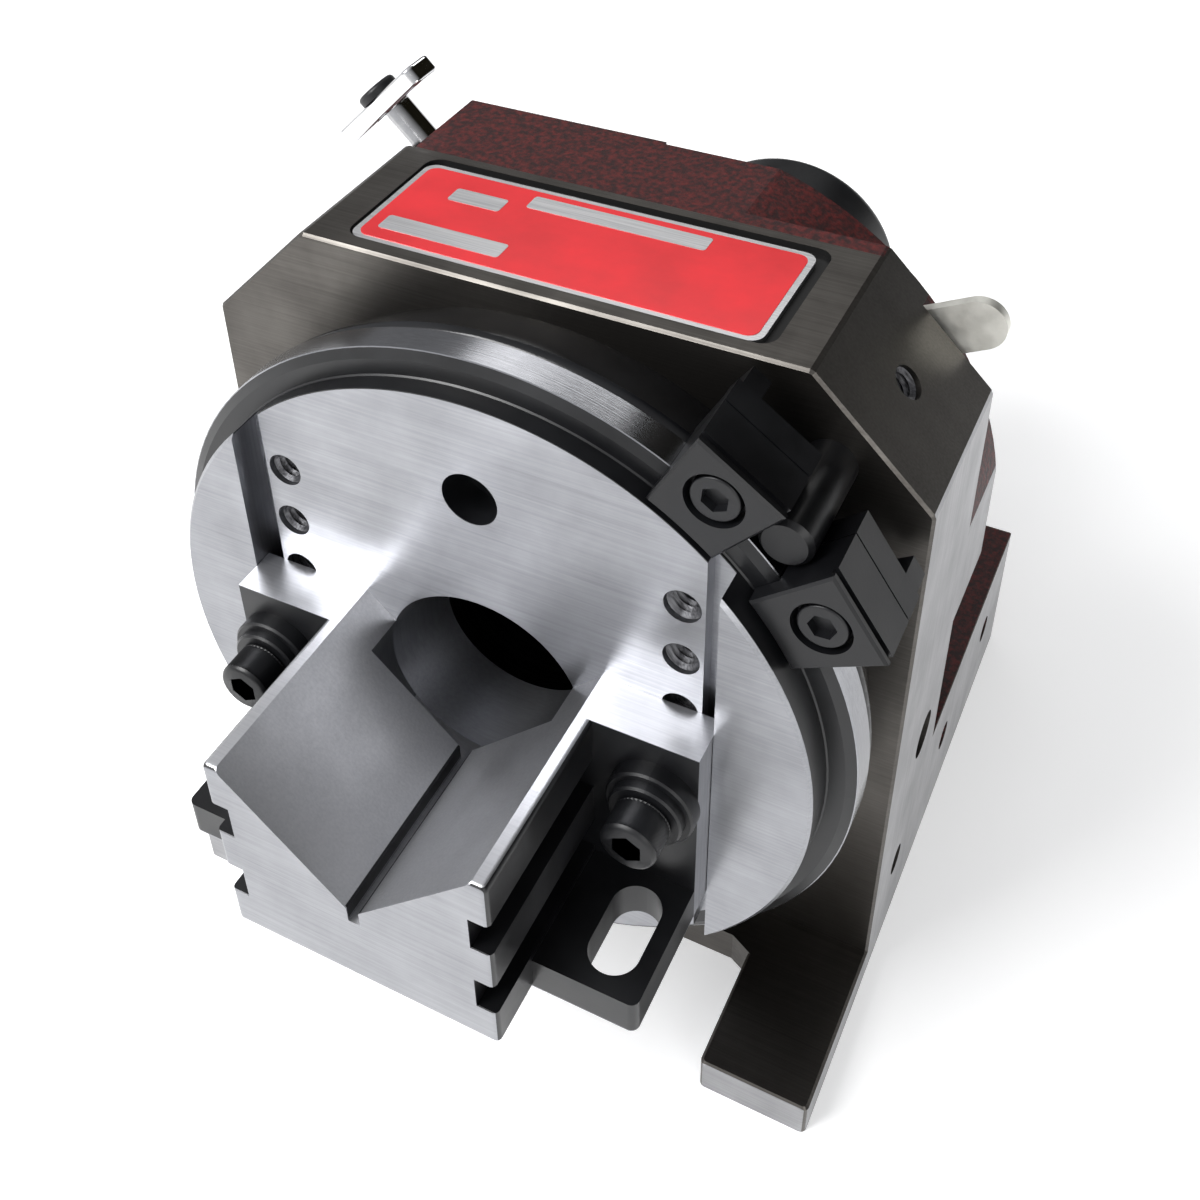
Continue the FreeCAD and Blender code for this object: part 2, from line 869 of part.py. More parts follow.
def make_vee_block():
    """Vee on a back flange with two slotted feet, cut clear round the collet mouth."""
    body = block(-vee_half_width, vee_half_width, vee_front, vee_back, vee_bottom, vee_top)
    front_edges = []
    for edge in body.Edges:
        bounds = edge.BoundBox
        if bounds.YLength > near or bounds.YMax < vee_front + near:
            front_edges.append(edge)
    body = body.makeFillet(vee_edge_radius, front_edges)
    flange = block(
        -vee_flange_half, vee_flange_half, vee_flange_front, vee_back, vee_bottom, vee_top
    )
    foot_top_level = vee_bottom + vee_foot_thickness
    shape = body.fuse(flange)
    for side in (-1, 1):
        inner = side * (vee_half_width - vee_edge_radius * 2)
        outer = side * vee_flange_half
        foot = block(
            min(inner, outer), max(inner, outer), vee_foot_front, vee_flange_front,
            vee_bottom, foot_top_level,
        )
        outer_corner = []
        for edge in foot.Edges:
            bounds = edge.BoundBox
            at_front = bounds.YMax < vee_foot_front + near
            if at_front and bounds.ZLength > near and abs(bounds.XMin - outer) < near:
                outer_corner.append(edge)
        shape = shape.fuse(foot.makeFillet(vee_foot_radius, outer_corner))
    shape = shape.removeSplitter()
    apex = vee_top - vee_mouth_half
    relief_top = apex + vee_relief_half
    vee = prism(
        [
            (vee_mouth_half + cut_past, vee_top + cut_past),
            (vee_relief_half, relief_top),
            (vee_relief_half, apex - vee_relief_depth),
            (-vee_relief_half, apex - vee_relief_depth),
            (-vee_relief_half, relief_top),
            (-vee_mouth_half - cut_past, vee_top + cut_past),
        ],
        vee_front - cut_past,
        vee_back + cut_past,
    )
    shape = shape.cut(vee)
    for rise in vee_groove_heights:
        for side in (-1, 1):
            inner = side * (vee_half_width - vee_groove_depth)
            outer = side * (vee_half_width + cut_past)
            shape = shape.cut(block(
                min(inner, outer), max(inner, outer), vee_front - cut_past, vee_flange_front,
                rise - vee_groove_width / 2, rise + vee_groove_width / 2,
            ))
    for side in (-1, 1):
        slot = rounded_plate(
            side * vee_slot_across - vee_slot_radius,
            side * vee_slot_across + vee_slot_radius,
            vee_slot_front - vee_slot_radius,
            vee_slot_back + vee_slot_radius,
            vee_bottom - cut_past,
            foot_top_level + cut_past,
            vee_slot_radius - near,
        )
        shape = shape.cut(slot)
        hole = rod(
            clamp_screw_radius + bolt_clearance, vee_flange_front - cut_past, vee_back + cut_past,
            side * tapped_hole_across,
        )
        shape = shape.cut(hole)
    mouth = rod(mouth_radius, vee_back - vee_mouth_clearance, vee_back + cut_past)
    return on_spindle(shape.cut(mouth))


def make_clamp_parts():
    """Screws and washers that hold the vee block."""
    screws = []
    thick = []
    thin = []
    thick_front = vee_flange_front - thick_washer_thickness
    thin_front = thick_front - thin_washer_thickness
    head_front = thin_front - clamp_screw_head_height
    for side in (-1, 1):
        across = side * tapped_hole_across
        hole = rod(clamp_screw_radius + bolt_clearance, head_front, vee_back, across)
        disc = rod(thick_washer_radius, thick_front, vee_flange_front, across)
        thick.append(on_spindle(chamfer_rings(disc, thick_front, washer_edge_break).cut(hole)))
        disc = rod(thin_washer_radius, thin_front, thick_front, across)
        thin.append(on_spindle(chamfer_rings(disc, thin_front, washer_edge_break).cut(hole)))
        screws.append(on_spindle(cap_screw(
            clamp_screw_radius, clamp_screw_head, clamp_screw_head_height, clamp_screw_socket,
            head_front, vee_back + clamp_screw_grip, across,
        )))
    return Part.makeCompound(screws), Part.makeCompound(thick), Part.makeCompound(thin)


def dog_wedge(inner_radius, front, back):
    """Wedge with radial sides, a flat outer face and a round inner one, pointing up."""
    turn = math.radians(dog_half_angle)
    outer_half = dog_outer * math.tan(turn)
    left = FreeCAD.Vector(-inner_radius * math.sin(turn), front, inner_radius * math.cos(turn))
    right = FreeCAD.Vector(inner_radius * math.sin(turn), front, inner_radius * math.cos(turn))
    middle = FreeCAD.Vector(0, front, inner_radius)
    outer_right = FreeCAD.Vector(outer_half, front, dog_outer)
    outer_left = FreeCAD.Vector(-outer_half, front, dog_outer)
    outline = Part.Wire([
        Part.Arc(left, middle, right).toShape(),
        Part.LineSegment(right, outer_right).toShape(),
        Part.LineSegment(outer_right, outer_left).toShape(),
        Part.LineSegment(outer_left, left).toShape(),
    ])
    return Part.Face(outline).extrude(FreeCAD.Vector(0, back - front, 0))


def make_dog(angle, tail_side):
    """Front jaw, rear jaw and screw of one stop dog."""
    inner = face_radius + rim_fillet + loose_clearance
    front = chamfer_rings(
        dog_wedge(inner, dog_front, dog_joint - dog_joint_gap), dog_front, dog_edge_break
    )
    rim_room = rod(rim_radius + loose_clearance, rim_front - dog_bite_clearance, dog_joint)
    front = front.cut(rim_room)
    shank = dog_screw_radius + screw_clearance
    front = front.cut(rod(shank, dog_front - cut_past, dog_joint, 0, dog_screw_circle))
    sink_floor = dog_front + dog_sink_depth
    front = front.cut(rod(dog_sink_radius, dog_front - cut_past, sink_floor, 0, dog_screw_circle))
    groove_floor = dog_outer - dog_groove_depth
    front = front.cut(block(
        -dog_outer, dog_outer, dog_groove_front, dog_groove_back, groove_floor, dog_outer + cut_past
    ))
    rear_front = rim_rear + dog_bite_clearance
    rear = dog_wedge(rim_radius - dog_lip_depth, rear_front, dog_rear)
    tail_low = min(tail_side * dog_tail_near, tail_side * dog_tail_far)
    tail = block(
        tail_low,
        tail_low + dog_tail_far - dog_tail_near,
        dog_rear - cut_past,
        dog_tail_rear,
        dog_outer - dog_tail_depth,
        dog_outer,
    )
    rear = rear.fuse(tail).removeSplitter()
    rear = rear.cut(dust_solid(loose_clearance))
    thread = dog_screw_radius + thread_gap
    floor = dog_rear - dog_thread_floor
    rear = rear.cut(rod(thread, rear_front - cut_past, floor, 0, dog_screw_circle))
    screw = cap_screw(
        dog_screw_radius, dog_screw_head, dog_screw_head_height, dog_screw_socket,
        sink_floor - dog_screw_head_height, floor - screw_clearance, 0, dog_screw_circle,
    )
    return [on_spindle(to_angle(piece, angle)) for piece in (front, rear, screw)]


def on_plunger(shape):
    """Stand a shape turned about Y on the plunger's radius."""
    return on_spindle(to_angle(along_radius(shape, plunger_place), plunger_angle))


def make_plunger_guide():
    """Pressed guide of the tip and the screwed cap that guides the stem."""
    guide = turned([
        (tip_radius + running_clearance, guide_under),
        (bush_outer_radius, guide_under),
        (bush_outer_radius, cap_under),
        (bush_chamber_radius, cap_under),
        (bush_chamber_radius, guide_top),
        (tip_radius + running_clearance, guide_top),
    ])
    cap = turned([
        (stem_radius + running_clearance, cap_under),
        (bush_outer_radius, cap_under),
        (bush_outer_radius, boss_face),
        (stem_radius + running_clearance, boss_face),
    ])
    return on_plunger(guide), on_plunger(cap)


def make_plunger_spring():
    """Coil spring round the stem, squeezed between collar and cap."""
    mean_radius = (stem_radius + bush_chamber_radius) / 2
    low = collar_top + spring_wire_radius + spring_gap
    high = cap_under - spring_wire_radius - spring_gap
    length = high - low
    helix = Part.makeHelix(length / spring_turns, length, mean_radius)
    section = Part.Wire(Part.makeCircle(
        spring_wire_radius, FreeCAD.Vector(mean_radius, 0, 0), FreeCAD.Vector(0, 1, 0)
    ))
    coil = Part.Wire(helix.Edges).makePipeShell([section], True, True)
    coil.translate(FreeCAD.Vector(0, 0, low))
    coil.translate(FreeCAD.Vector(0, plunger_place, 0))
    return on_spindle(to_angle(coil, plunger_angle))


def make_plunger_stem():
    hole = bar_screw_radius + thread_gap
    floor = bar_screw_end - cut_past
    return on_plunger(turned([
        (0, tip_end),
        (tip_radius - tip_taper * tip_flat_share, tip_end),
        (tip_radius, tip_end + tip_taper),
        (tip_radius, collar_under),
        (collar_radius, collar_under),
        (collar_radius, collar_top),
        (stem_radius, collar_top),
        (stem_radius, stem_top),
        (hole, stem_top),
        (hole, floor),
        (0, floor),
    ]))


def make_plunger_bar():
    """Flat cross bar with rounded ends."""
    under = stem_top + seat_gap
    bar = rounded_plate(
        -bar_length / 2, bar_length / 2, -bar_width / 2, bar_width / 2,
        under, under + bar_thickness, bar_corner_radius,
    )
    long_edges = []
    for edge in bar.Edges:
        if edge.BoundBox.ZLength < near:
            long_edges.append(edge)
    bar = bar.makeFillet(bar_edge_radius, long_edges)
    bar.translate(FreeCAD.Vector(0, plunger_place, 0))
    top = under + bar_thickness
    hole = rod(bar_screw_radius + thread_gap, under - cut_past, top + cut_past)
    return on_spindle(to_angle(bar.cut(along_radius(hole, plunger_place)), plunger_angle))


def make_plunger_screw():
    seat = stem_top + seat_gap + bar_thickness
    top = seat + bar_screw_head_height
    head = fillet_rings(rod(bar_screw_head, seat, top), top, bar_screw_round)
    shank = rod(bar_screw_radius, bar_screw_end, seat)
    screw = head.fuse(shank).removeSplitter()
    socket = hex_socket(bar_screw_socket, bar_screw_socket_depth, 0)
    socket.rotate(FreeCAD.Vector(), FreeCAD.Vector(0, 0, 1), 180)
    socket.translate(FreeCAD.Vector(0, top, 0))
    return on_plunger(screw.cut(socket))


def make_latch_lever():
    """Flat lever on a pin: a thumb end outside, a short arm to the spindle inside."""
    back = lever_front + lever_thickness
    arm = prism(
        [
            lever_point(0, lever_angle, lever_half_width),
            lever_point(lever_length, lever_angle, lever_half_width),
            lever_point(lever_length, lever_angle, -lever_half_width),
            lever_point(0, lever_angle, -lever_half_width),
        ],
        lever_front,
        back,
    )
    tip_across, tip_rise = lever_point(lever_length, lever_angle)
    tip = rod(lever_half_width, lever_front, back, tip_across, tip_rise)
    hub = rod(lever_hub_radius, lever_front, back, lever_pivot_across, lever_pivot_rise)
    inner = prism(
        [
            lever_point(0, inner_angle, lever_inner_half_width),
            lever_point(inner_length, inner_angle, lever_inner_half_width),
            lever_point(inner_length, inner_angle, -lever_inner_half_width),
            lever_point(0, inner_angle, -lever_inner_half_width),
        ],
        lever_front,
        back,
    )
    lever = arm.fuse([tip, hub, inner]).removeSplitter()
    hole = rod(
        lever_pin_radius + sliding_clearance, lever_front - cut_past, back + cut_past,
        lever_pivot_across, lever_pivot_rise,
    )
    return on_spindle(lever.cut(hole))


def make_lever_shoe():
    """Brass shoe on the inner arm, with a round nose towards the spindle."""
    nose_across, nose_rise = lever_point(inner_length + shoe_length - shoe_round, inner_angle)
    nose = rod(
        shoe_round, lever_front, lever_front + lever_thickness, nose_across, nose_rise
    )
    beyond = prism(
        [
            lever_point(inner_length, inner_angle, shoe_reach),
            lever_point(inner_length + shoe_reach, inner_angle, shoe_reach),
            lever_point(inner_length + shoe_reach, inner_angle, -shoe_reach),
            lever_point(inner_length, inner_angle, -shoe_reach),
        ],
        lever_front,
        lever_front + lever_thickness,
    )
    return on_spindle(nose.common(beyond))


def make_lever_pin():
    pin = rod(lever_pin_radius, lever_pin_front, web_rear, lever_pivot_across, lever_pivot_rise)
    return on_spindle(pin)


def export(pieces):
    os.makedirs("parts", exist_ok=True)
    for name, shape in pieces.items():
        if not shape.isValid():
            print("not valid:", name)
        shape.exportStep("parts/" + name + ".step")
        print(name, len(shape.Solids), round(shape.Volume, 1))


front_bush, rear_bush = make_bushes()
plunger_bush, plunger_cap = make_plunger_guide()
clamp_screws, thick_washers, thin_washers = make_clamp_parts()
upper_dog = make_dog(upper_dog_angle, -1)
lower_dog = make_dog(lower_dog_angle, 1)

export({
    "housing": make_housing(),
    "name_plate": make_name_plate(),
    "dust_ring": on_spindle(dust_solid(0)),
    "front_bush": front_bush,
    "rear_bush": rear_bush,
    "stop_pin": make_stop_pin(),
    "plunger_bush": plunger_bush,
    "plunger_cap": plunger_cap,
    "plunger_spring": make_plunger_spring(),
    "lever_pin": make_lever_pin(),
    "spindle": make_spindle(),
    "collet_key": make_collet_key(),
    "faceplate": make_faceplate(),
    "faceplate_screws": make_faceplate_screws(),
    "index_plate": make_index_plate(),
    "spindle_nut": make_spindle_nut(),
    "vee_block": make_vee_block(),
    "clamp_screws": clamp_screws,
    "thick_washers": thick_washers,
    "thin_washers": thin_washers,
    "draw_tube": make_draw_tube(),
    "handwheel": make_handwheel(),
    "handwheel_screw": make_handwheel_screw(),
    "upper_dog_front": upper_dog[0],
    "upper_dog_rear": upper_dog[1],
    "upper_dog_screw": upper_dog[2],
    "lower_dog_front": lower_dog[0],
    "lower_dog_rear": lower_dog[1],
    "lower_dog_screw": lower_dog[2],
    "plunger_stem": make_plunger_stem(),
    "plunger_bar": make_plunger_bar(),
    "plunger_screw": make_plunger_screw(),
    "latch_lever": make_latch_lever(),
    "lever_shoe": make_lever_shoe(),
})
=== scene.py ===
import math
import bmesh
import bpy
from mathutils import Matrix, Vector


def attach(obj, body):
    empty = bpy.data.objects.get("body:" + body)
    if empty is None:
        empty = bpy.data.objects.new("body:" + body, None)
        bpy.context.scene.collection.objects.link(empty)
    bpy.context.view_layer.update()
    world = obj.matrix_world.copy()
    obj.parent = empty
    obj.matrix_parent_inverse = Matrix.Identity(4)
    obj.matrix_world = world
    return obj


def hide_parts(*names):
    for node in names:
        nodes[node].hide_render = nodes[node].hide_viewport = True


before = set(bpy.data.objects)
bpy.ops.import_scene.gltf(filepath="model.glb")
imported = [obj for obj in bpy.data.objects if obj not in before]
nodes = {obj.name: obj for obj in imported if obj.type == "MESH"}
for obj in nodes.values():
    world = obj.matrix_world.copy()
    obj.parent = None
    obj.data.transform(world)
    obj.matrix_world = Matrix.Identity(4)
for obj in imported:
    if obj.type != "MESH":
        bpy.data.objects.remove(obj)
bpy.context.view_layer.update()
print("frame loaded with", len(nodes), "nodes")

mm = 0.001
axisHeight = 77.2 * mm


# Materials

def hexColour(code):
    # sRGB hex to the linear colour that the sockets take
    channels = []
    for start in (0, 2, 4):
        value = int(code[start:start + 2], 16) / 255
        if value <= 0.04045:
            channels.append(value / 12.92)
        else:
            channels.append(((value + 0.055) / 1.055) ** 2.4)
    return (*channels, 1.0)


def addNode(tree, kind, values=None, links=None, **settings):
    node = tree.nodes.new(kind)
    for name, value in settings.items():
        setattr(node, name, value)
    for socket, value in (values or {}).items():
        node.inputs[socket].default_value = value
    for socket, source in (links or {}).items():
        tree.links.new(source, node.inputs[socket])
    return node


def startMaterial(name):
    material = bpy.data.materials.new(name)
    material.use_nodes = True
    material.node_tree.nodes.clear()
    return material, material.node_tree


def finishMaterial(tree, values, links):
    shader = addNode(tree, "ShaderNodeBsdfPrincipled", values, links)
    addNode(tree, "ShaderNodeOutputMaterial", links={"Surface": shader.outputs[0]})


def scaledNoise(tree, vector, scale, detail=3.0, roughness=0.55):
    # scale is waves per metre along X, Y and Z
    mapping = addNode(tree, "ShaderNodeMapping", {"Scale": scale}, {"Vector": vector})
    noise = addNode(
        tree, "ShaderNodeTexNoise",
        {"Scale": 1.0, "Detail": detail, "Roughness": roughness},
        {"Vector": mapping.outputs[0]},
    )
    return noise.outputs["Fac"]


def evenNoise(tree, coordinates, spacing, detail=3.0, roughness=0.55):
    # the same spacing, in metres, along every axis
    wave = 1 / spacing
    return scaledNoise(tree, coordinates.outputs["Object"], (wave, wave, wave), detail, roughness)


def remap(tree, value, low, high, fromLow=0.3, fromHigh=0.7):
    # a noise keeps mostly between 0.3 and 0.7
    node = addNode(
        tree, "ShaderNodeMapRange",
        {"From Min": fromLow, "From Max": fromHigh, "To Min": low, "To Max": high},
        {"Value": value},
    )
    return node.outputs[0]


def combine(tree, operation, first, second=0.0):
    # first and second are sockets or plain numbers
    node = addNode(tree, "ShaderNodeMath", operation=operation)
    for index, source in enumerate((first, second)):
        if isinstance(source, (int, float)):
            node.inputs[index].default_value = source
        else:
            tree.links.new(source, node.inputs[index])
    return node.outputs[0]


def above(tree, value, edge):
    # 1 where value is more than edge, in mm
    return combine(tree, "GREATER_THAN", value, edge * mm)


def below(tree, value, edge):
    return combine(tree, "LESS_THAN", value, edge * mm)


def within(tree, value, span):
    # 1 where value lies inside the span, in mm
    low, high = [edge * mm for edge in span]
    node = addNode(
        tree, "ShaderNodeMath", {1: (low + high) / 2, 2: (high - low) / 2}, {0: value},
        operation="COMPARE",
    )
    return node.outputs[0]


def allOf(tree, masks):
    result = masks[0]
    for mask in masks[1:]:
        result = combine(tree, "MULTIPLY", result, mask)
    return result


def mixColours(tree, factor, first, second):
    # first shows where factor is 0; each is a hex code or a socket
    node = addNode(
        tree, "ShaderNodeMix", links={"Factor": factor}, data_type="RGBA", clamp_factor=True
    )
    for socket, source in ((node.inputs[6], first), (node.inputs[7], second)):
        if isinstance(source, str):
            socket.default_value = hexColour(source)
        else:
            tree.links.new(source, socket)
    return node.outputs[2]


def mixNumbers(tree, factor, first, second):
    node = addNode(tree, "ShaderNodeMix", links={"Factor": factor}, data_type="FLOAT")
    for socket, source in ((node.inputs[2], first), (node.inputs[3], second)):
        if isinstance(source, (int, float)):
            socket.default_value = source
        else:
            tree.links.new(source, socket)
    return node.outputs[0]


def bumped(tree, height, depth, under=None):
    # depth is the height of the relief in metres; under is a relief that it lies on
    links = {"Height": height}
    if under is not None:
        links["Normal"] = under
    node = addNode(tree, "ShaderNodeBump", {"Strength": 1.0, "Distance": depth}, links)
    return node.outputs[0]


def placeParts(tree, coordinates):
    parts = addNode(tree, "ShaderNodeSeparateXYZ", links={0: coordinates.outputs["Object"]})
    return parts.outputs[0], parts.outputs[1], parts.outputs[2]


def spindleRadius(tree, across, rise):
    fromAxis = combine(tree, "SUBTRACT", rise, axisHeight)
    square = combine(tree, "MULTIPLY", fromAxis, fromAxis)
    squareAcross = combine(tree, "MULTIPLY", across, across)
    return combine(tree, "SQRT", combine(tree, "ADD", square, squareAcross))


grinding = {
    "lineSpacing": 0.4 * mm,    # real grinding lines are finer; drawn as coarse as they show
    "lineLength": 30 * mm,
    "smudgeSize": 14 * mm,
    "smudgeShare": 0.6,
    "scratchDepth": 0.005 * mm,
    "grooveSpacing": 0.25 * mm,
    "grooveLength": 500 * mm,
    "grooveDepth": 0.008 * mm,
    "turningSpacing": 0.4 * mm,
    "turningDepth": 0.004 * mm,
    "sideFacing": 0.9,
}

# colour pair, then the roughness pair that goes with it
toolSteel = ("8b8c90", "a8a9ad", 0.40, 0.28)
# lighter copy of the tool steel, painted light for the vee block's upward faces
litVeeWalls = ("cfd0d3", "ececee", 0.44, 0.30)
# the next two are lit and shaded copies of one ground iron: the first is painted lighter for the
# housing's sides and foot fronts, the second painted darker as shade for its front, top and corner
# faces
litIron = ("8c8c8e", "aaaaac", 0.46, 0.34)
shadedIron = ("4c4946", "686561", 0.44, 0.32)


def facing(tree, coordinates, axis):
    parts = addNode(tree, "ShaderNodeSeparateXYZ", links={0: coordinates.outputs["Normal"]})
    return parts.outputs[axis]


def sideFaces(tree, coordinates):
    # 1 on faces that look along X
    across = combine(tree, "ABSOLUTE", facing(tree, coordinates, 0))
    return combine(tree, "GREATER_THAN", across, grinding["sideFacing"])


def grindingMarks(tree, coordinates):
    # lines along X on faces that look along Y or Z, and along Z on the sides
    fine = 1 / grinding["lineSpacing"]
    long = 1 / grinding["lineLength"]
    place = coordinates.outputs["Object"]
    alongX = scaledNoise(tree, place, (long, fine, fine))
    alongZ = scaledNoise(tree, place, (fine, fine, long))
    return mixNumbers(tree, sideFaces(tree, coordinates), alongX, alongZ)


def steelTone(tree, coordinates, lines):
    # grinding lines over faint smudges
    smudge = evenNoise(tree, coordinates, grinding["smudgeSize"], 4.0)
    share = grinding["smudgeShare"]
    smudge = combine(tree, "MULTIPLY", smudge, share)
    return combine(tree, "ADD", smudge, combine(tree, "MULTIPLY", lines, 1 - share))


def steelParts(tree, tone, metal):
    dark, light, dull, bright = metal
    colour = mixColours(tree, remap(tree, tone, 0.0, 1.0), dark, light)
    return colour, remap(tree, tone, dull, bright)


oxide = {
    "deep": "08080a",
    "worn": "18191c",
    "mostWorn": 0.7,
    "satin": 0.36,
    "glossy": 0.16,
    "patch": 12 * mm,
    "grain": 0.5 * mm,
    "grainDepth": 0.01 * mm,
}


def oxideParts(tree, coordinates, roughness):
    cloud = evenNoise(tree, coordinates, oxide["patch"])
    wear = remap(tree, cloud, 0.0, oxide["mostWorn"])
    colour = mixColours(tree, wear, oxide["deep"], oxide["worn"])
    return colour, remap(tree, cloud, roughness - 0.05, roughness + 0.08)


def makeBlackOxide(name, roughness):
    # black oxide on steel: near black, oily, slightly grey where it has rubbed
    material, tree = startMaterial(name)
    coordinates = addNode(tree, "ShaderNodeTexCoord")
    colour, rough = oxideParts(tree, coordinates, roughness)
    grain = evenNoise(tree, coordinates, oxide["grain"], 2.0)
    finishMaterial(
        tree,
        {"Metallic": 0.0, "IOR": 1.45},
        {
            "Base Color": colour,
            "Roughness": rough,
            "Normal": bumped(tree, grain, oxide["grainDepth"]),
        },
    )
    return material


wrinkle = {
    # the first colour is painted shade in the hollows of the wrinkles, the second a painted
    # highlight on the ridges
    "deep": "260708",
    "ridgeHighlight": "5c1715",
    "size": 1.1 * mm,
    "depth": 0.16 * mm,
    "broadShare": 0.5,
    "crestFrom": 0.4,
    "crestTo": 0.68,
    "roughness": 0.55,
}


def wrinkleParts(tree, coordinates):
    # crinkled ridges about a millimetre apart, the ridges painted lighter as highlight and the
    # hollows darker as shade
    ridges = evenNoise(tree, coordinates, wrinkle["size"], 4.0, 0.6)
    broad = evenNoise(tree, coordinates, wrinkle["size"] * 3, 2.0)
    broad = combine(tree, "MULTIPLY", broad, wrinkle["broadShare"])
    height = combine(tree, "ADD", ridges, broad)
    ridgeHighlight = remap(tree, ridges, 0.0, 1.0, wrinkle["crestFrom"], wrinkle["crestTo"])
    return mixColours(tree, ridgeHighlight, wrinkle["deep"], wrinkle["ridgeHighlight"]), height


# where the housing's finish changes, in mm; corner adds the distances along X and Z
housingZones = {
    "footFront": -33.9,
    "lipAlong": (34, 38),
    "lipCorner": 187.1,
    "paintFront": 34.45,
    "paintHalfWidth": 66.45,
    "paintBottom": 0.5,
    "bossRadius": 44.9,
    "pocketAcross": (-39.2, 38.6),
    "pocketAlong": (3.0, 32.6),
    "pocketRise": (140, 141.5),
    # near black painted as shade in the name-plate pocket round the plate
    "pocketShadeColour": "0a0a0a",
}


def makeHousingFinish():
    # ground cast iron, painted darker as shade on the front, top and corner faces and lighter as
    # light on the sides and foot fronts; dark red wrinkle paint behind
    material, tree = startMaterial("groundIronAndWrinklePaint")
    coordinates = addNode(tree, "ShaderNodeTexCoord")
    across, along, rise = placeParts(tree, coordinates)
    lines = grindingMarks(tree, coordinates)
    tone = steelTone(tree, coordinates, lines)
    zones = housingZones
    # the sides and the foot fronts take the lit copy and every other ground face takes the shaded
    # copy: painted light and shade by facing
    footFront = below(tree, along, zones["footFront"])
    side = combine(tree, "MAXIMUM", sideFaces(tree, coordinates), footFront)
    shadedColour, shadedRough = steelParts(tree, tone, shadedIron)
    litSideColour, litSideRough = steelParts(tree, tone, litIron)
    steelColour = mixColours(tree, side, shadedColour, litSideColour)
    steelRough = mixNumbers(tree, side, shadedRough, litSideRough)
    paintColour, paintHeight = wrinkleParts(tree, coordinates)
    width = combine(tree, "ABSOLUTE", across)
    radius = spindleRadius(tree, across, rise)
    cornerLine = combine(tree, "ADD", width, rise)
    lip = allOf(tree, [
        within(tree, along, zones["lipAlong"]),
        above(tree, cornerLine, zones["lipCorner"]),
    ])
    paint = allOf(tree, [
        above(tree, along, zones["paintFront"]),
        below(tree, width, zones["paintHalfWidth"]),
        above(tree, rise, zones["paintBottom"]),
        above(tree, radius, zones["bossRadius"]),
        combine(tree, "SUBTRACT", 1.0, lip),
    ])
    # the name-plate pocket is painted near black, as shade in the gap round the plate
    pocketShade = allOf(tree, [
        within(tree, across, zones["pocketAcross"]),
        within(tree, along, zones["pocketAlong"]),
        within(tree, rise, zones["pocketRise"]),
    ])
    colour = mixColours(tree, paint, steelColour, paintColour)
    colour = mixColours(tree, pocketShade, colour, zones["pocketShadeColour"])
    # the wrinkle paint and the painted pocket shade are both non-metal with the paint's roughness
    paintAndPocketShade = combine(tree, "MAXIMUM", paint, pocketShade)
    rough = mixNumbers(tree, paintAndPocketShade, steelRough, wrinkle["roughness"])
    metal = combine(tree, "SUBTRACT", 1.0, paintAndPocketShade)
    scratch = bumped(tree, lines, grinding["scratchDepth"])
    crinkle = combine(tree, "MULTIPLY", paintHeight, paint)
    finishMaterial(
        tree,
        {},
        {
            "Base Color": colour,
            "Metallic": metal,
            "Roughness": rough,
            "Normal": bumped(tree, crinkle, wrinkle["depth"], scratch),
        },
    )
    return material


# black step behind the front disc, black pin hole and bright rim, in mm
faceplateZones = {
    "stepAlong": (-26.9, -19.7),
    "stepRadius": (59.8, 65.0),
    "pinAcross": (-5.1, 5.1),
    "pinLevel": (36, 46.4),
    "pinFront": -24.0,
    "rimRadius": 64.3,
    "rimRoughness": 0.2,
}


def makeFaceplateFinish():
    # ground tool steel, brighter round the rim; black oxide on the step and in the pin hole
    material, tree = startMaterial("groundSteelBlackStep")
    coordinates = addNode(tree, "ShaderNodeTexCoord")
    across, along, rise = placeParts(tree, coordinates)
    lines = grindingMarks(tree, coordinates)
    steelColour, steelRough = steelParts(tree, steelTone(tree, coordinates, lines), toolSteel)
    oxideColour, oxideRough = oxideParts(tree, coordinates, oxide["satin"])
    radius = spindleRadius(tree, across, rise)
    zones = faceplateZones
    step = allOf(tree, [
        within(tree, along, zones["stepAlong"]),
        within(tree, radius, zones["stepRadius"]),
    ])
    pinHole = allOf(tree, [
        within(tree, across, zones["pinAcross"]),
        within(tree, combine(tree, "SUBTRACT", rise, axisHeight), zones["pinLevel"]),
        above(tree, along, zones["pinFront"]),
    ])
    black = combine(tree, "MAXIMUM", step, pinHole)
    rim = above(tree, radius, zones["rimRadius"])
    wave = 1 / grinding["grooveSpacing"]
    long = 1 / grinding["grooveLength"]
    grooves = scaledNoise(tree, coordinates.outputs["Object"], (long, wave, long), 1.0)
    grooves = combine(tree, "MULTIPLY", grooves, rim)
    scratch = bumped(tree, lines, grinding["scratchDepth"])
    bareRough = mixNumbers(tree, rim, steelRough, zones["rimRoughness"])
    finishMaterial(
        tree,
        {},
        {
            "Base Color": mixColours(tree, black, steelColour, oxideColour),
            "Metallic": combine(tree, "SUBTRACT", 1.0, black),
            "Roughness": mixNumbers(tree, black, bareRough, oxideRough),
            "Normal": bumped(tree, grooves, grinding["grooveDepth"], scratch),
        },
    )
    return material


# black relief slot and flanks of the vee block, in mm; drop is the level less the distance
# along X, which stays the same up a wall of the vee
veeZones = {
    "slotHalfWidth": 1.4,
    "slotDrop": -0.4,
    "slotFloor": -12,
    "upwardFacing": 0.6,
    "flankInside": 21.3,
    "flankAlong": (-66.3, -32.8),
    "flankLevel": (-27.8, 11.8),
    "flankDrop": -10.8,
}


